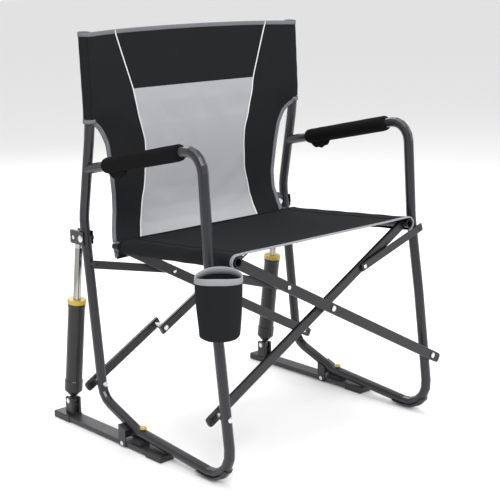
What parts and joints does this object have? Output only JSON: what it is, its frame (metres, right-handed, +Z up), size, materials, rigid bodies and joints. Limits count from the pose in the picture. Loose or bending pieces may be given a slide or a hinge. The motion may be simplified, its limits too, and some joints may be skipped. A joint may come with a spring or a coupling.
{
  "type": "camp rocking chair",
  "caption": "Folding camp rocking chair with mesh back, padded arms, cup holder, crossing fold bars and sprung foot bars.",
  "frame": {"origin": "centre of the standing chair's outline on the floor", "axes": "+Z up; the sitter faces -Y; the cup holder is on the -X side"},
  "size_m": [0.7141, 0.653, 0.8806],
  "materials": {
    "powder_coat": "satin",
    "black_plastic": "matte",
    "black_rubber": "matte",
    "zinc": "satin",
    "chrome": "polished",
    "yellow_plastic": "gloss",
    "charcoal_fabric": "woven",
    "foam_sleeve": "foam"
  },
  "bodies": {
    "left_frame": {"left_rear_tube": "powder_coat", "left_front_tube": "powder_coat", "left_arm_pad": "foam_sleeve", "left_front_foot": "black_plastic", "left_rock_bracket": "powder_coat", "left_rock_pin": "zinc", "left_button": "yellow_plastic", "left_strut_bracket": "powder_coat", "left_bracket_bolt": "zinc", "left_strut_high_pin": "zinc", "left_front_pivot": "zinc", "left_rear_pivot": "zinc", "back_sling": "charcoal_fabric", "cup_holder": "charcoal_fabric"},
    "right_frame": {"right_rear_tube": "powder_coat", "right_front_tube": "powder_coat", "right_arm_pad": "foam_sleeve", "right_front_foot": "black_plastic", "right_rock_bracket": "powder_coat", "right_rock_pin": "zinc", "right_button": "yellow_plastic", "right_strut_bracket": "powder_coat", "right_bracket_bolt": "zinc", "right_strut_high_pin": "zinc", "right_front_pivot": "zinc", "right_rear_pivot": "zinc"},
    "front_bar_a": {"front_bar_a": "powder_coat", "front_centre_bolt": "zinc"},
    "front_bar_b": {"front_bar_b": "powder_coat"},
    "rear_bar_a": {"rear_bar_a_lower": "powder_coat", "rear_bar_a_upper": "powder_coat", "rear_lap_rivet": "zinc", "rear_centre_bolt": "zinc"},
    "rear_bar_b": {"rear_bar_b": "powder_coat"},
    "left_rail": {"left_seat_rail": "powder_coat", "seat_sling": "charcoal_fabric"},
    "right_rail": {"right_seat_rail": "powder_coat"},
    "left_front_link": {"left_front_link": "powder_coat"},
    "left_rear_link": {"left_rear_link": "powder_coat"},
    "left_foot": {"left_foot_bar": "powder_coat", "left_front_cap": "black_plastic", "left_rear_block": "black_plastic", "left_strut_low_pin": "zinc", "left_bumper": "black_rubber"},
    "left_cylinder": {"left_strut_cylinder": "black_plastic", "left_strut_ring": "yellow_plastic"},
    "left_rod": {"left_strut_rod": "chrome"},
    "right_front_link": {"right_front_link": "powder_coat"},
    "right_rear_link": {"right_rear_link": "powder_coat"},
    "right_foot": {"right_foot_bar": "powder_coat", "right_front_cap": "black_plastic", "right_rear_block": "black_plastic", "right_strut_low_pin": "zinc", "right_bumper": "black_rubber"},
    "right_cylinder": {"right_strut_cylinder": "black_plastic", "right_strut_ring": "yellow_plastic"},
    "right_rod": {"right_strut_rod": "chrome"}
  },
  "joints": [
    {"name": "fold", "type": "hinge", "parent": "left_frame", "child": "front_bar_a", "pos_m": [-0.2704, -0.221, 0.143], "axis": [0, -1, 0], "range_deg": [0, 51.1], "deforming": ["back_sling", "seat_sling"]},
    {"name": "front_cross", "type": "hinge", "parent": "front_bar_a", "child": "front_bar_b", "pos_m": [0.0296, -0.27, 0.308], "axis": [0, -1, 0], "range_deg": [-102.4, 0]},
    {"name": "right_front_leg", "type": "hinge", "parent": "front_bar_b", "child": "right_frame", "pos_m": [0.3296, -0.27, 0.143], "axis": [0, -1, 0], "range_deg": [0, 51.2]},
    {"name": "rear_a_leg", "type": "hinge", "parent": "left_frame", "child": "rear_bar_a", "pos_m": [-0.2704, 0.191, 0.115], "axis": [0, -1, 0], "range_deg": [0, 51.2]},
    {"name": "rear_cross", "type": "hinge", "parent": "rear_bar_a", "child": "rear_bar_b", "pos_m": [0.0296, 0.142, 0.28], "axis": [0, -1, 0], "range_deg": [-102.4, 0]},
    {"name": "right_rail_turn", "type": "hinge", "parent": "front_bar_a", "child": "right_rail", "pos_m": [0.2836, -0.221, 0.4477], "axis": [0, -1, 0], "range_deg": [-51.2, 0]},
    {"name": "left_rail_turn", "type": "hinge", "parent": "front_bar_b", "child": "left_rail", "pos_m": [-0.2244, -0.2295, 0.4477], "axis": [0, -1, 0], "range_deg": [0, 51.2]},
    {"name": "left_front_link_turn", "type": "hinge", "parent": "left_frame", "child": "left_front_link", "pos_m": [-0.2704, -0.2245, 0.43], "axis": [0, -1, 0], "range_deg": [0, 96.32]},
    {"name": "left_rear_link_turn", "type": "hinge", "parent": "left_frame", "child": "left_rear_link", "pos_m": [-0.2704, 0.1665, 0.383], "axis": [0, -1, 0], "range_deg": [0, 91.57]},
    {"name": "right_front_link_turn", "type": "hinge", "parent": "right_frame", "child": "right_front_link", "pos_m": [0.3296, -0.2302, 0.43], "axis": [0, -1, 0], "range_deg": [-96.32, 0]},
    {"name": "right_rear_link_turn", "type": "hinge", "parent": "right_frame", "child": "right_rear_link", "pos_m": [0.3296, 0.1665, 0.383], "axis": [0, -1, 0], "range_deg": [-91.57, 0]},
    {"name": "left_rock", "type": "hinge", "parent": "left_frame", "child": "left_foot", "pos_m": [-0.2764, 0.0645, 0.009], "axis": [1, 0, 0], "range_deg": [0, 12], "stiffness_Nm_per_rad": 60, "springref_deg": -20.05},
    {"name": "left_strut_turn", "type": "hinge", "parent": "left_foot", "child": "left_cylinder", "pos_m": [-0.2704, 0.2825, 0.046], "axis": [1, 0, 0], "range_deg": [-13.1, 0]},
    {"name": "left_strut_slide", "type": "slide", "parent": "left_cylinder", "child": "left_rod", "axis": [0, -0.1343, 0.9909], "range_m": [-0.04593, 0]},
    {"name": "right_rock", "type": "hinge", "parent": "right_frame", "child": "right_foot", "pos_m": [0.3356, 0.0645, 0.009], "axis": [1, 0, 0], "range_deg": [0, 12], "stiffness_Nm_per_rad": 60, "springref_deg": -20.05},
    {"name": "right_strut_turn", "type": "hinge", "parent": "right_foot", "child": "right_cylinder", "pos_m": [0.3296, 0.2825, 0.046], "axis": [1, 0, 0], "range_deg": [-13.1, 0]},
    {"name": "right_strut_slide", "type": "slide", "parent": "right_cylinder", "child": "right_rod", "axis": [0, -0.1343, 0.9909], "range_m": [-0.04593, 0]}
  ],
  "couplings": [
    {"joint": "front_cross", "follows": "fold", "ratio": -2},
    {"joint": "right_front_leg", "follows": "fold", "ratio": 1},
    {"joint": "rear_a_leg", "follows": "fold", "ratio": 1},
    {"joint": "rear_cross", "follows": "fold", "ratio": -2},
    {"joint": "right_rail_turn", "follows": "fold", "ratio": -1},
    {"joint": "left_rail_turn", "follows": "fold", "ratio": 1},
    {"joint": "left_front_link_turn", "follows": "fold", "ratio": 1.883},
    {"joint": "left_rear_link_turn", "follows": "fold", "ratio": 1.79},
    {"joint": "right_front_link_turn", "follows": "fold", "ratio": -1.883},
    {"joint": "right_rear_link_turn", "follows": "fold", "ratio": -1.79},
    {"joint": "right_rock", "follows": "left_rock", "ratio": 1},
    {"joint": "left_strut_turn", "follows": "left_rock", "ratio": -1.0871},
    {"joint": "left_strut_slide", "follows": "left_rock", "m_per_rad": -0.21833},
    {"joint": "right_strut_turn", "follows": "left_rock", "ratio": -1.0871},
    {"joint": "right_strut_slide", "follows": "left_rock", "m_per_rad": -0.21833}
  ]
}
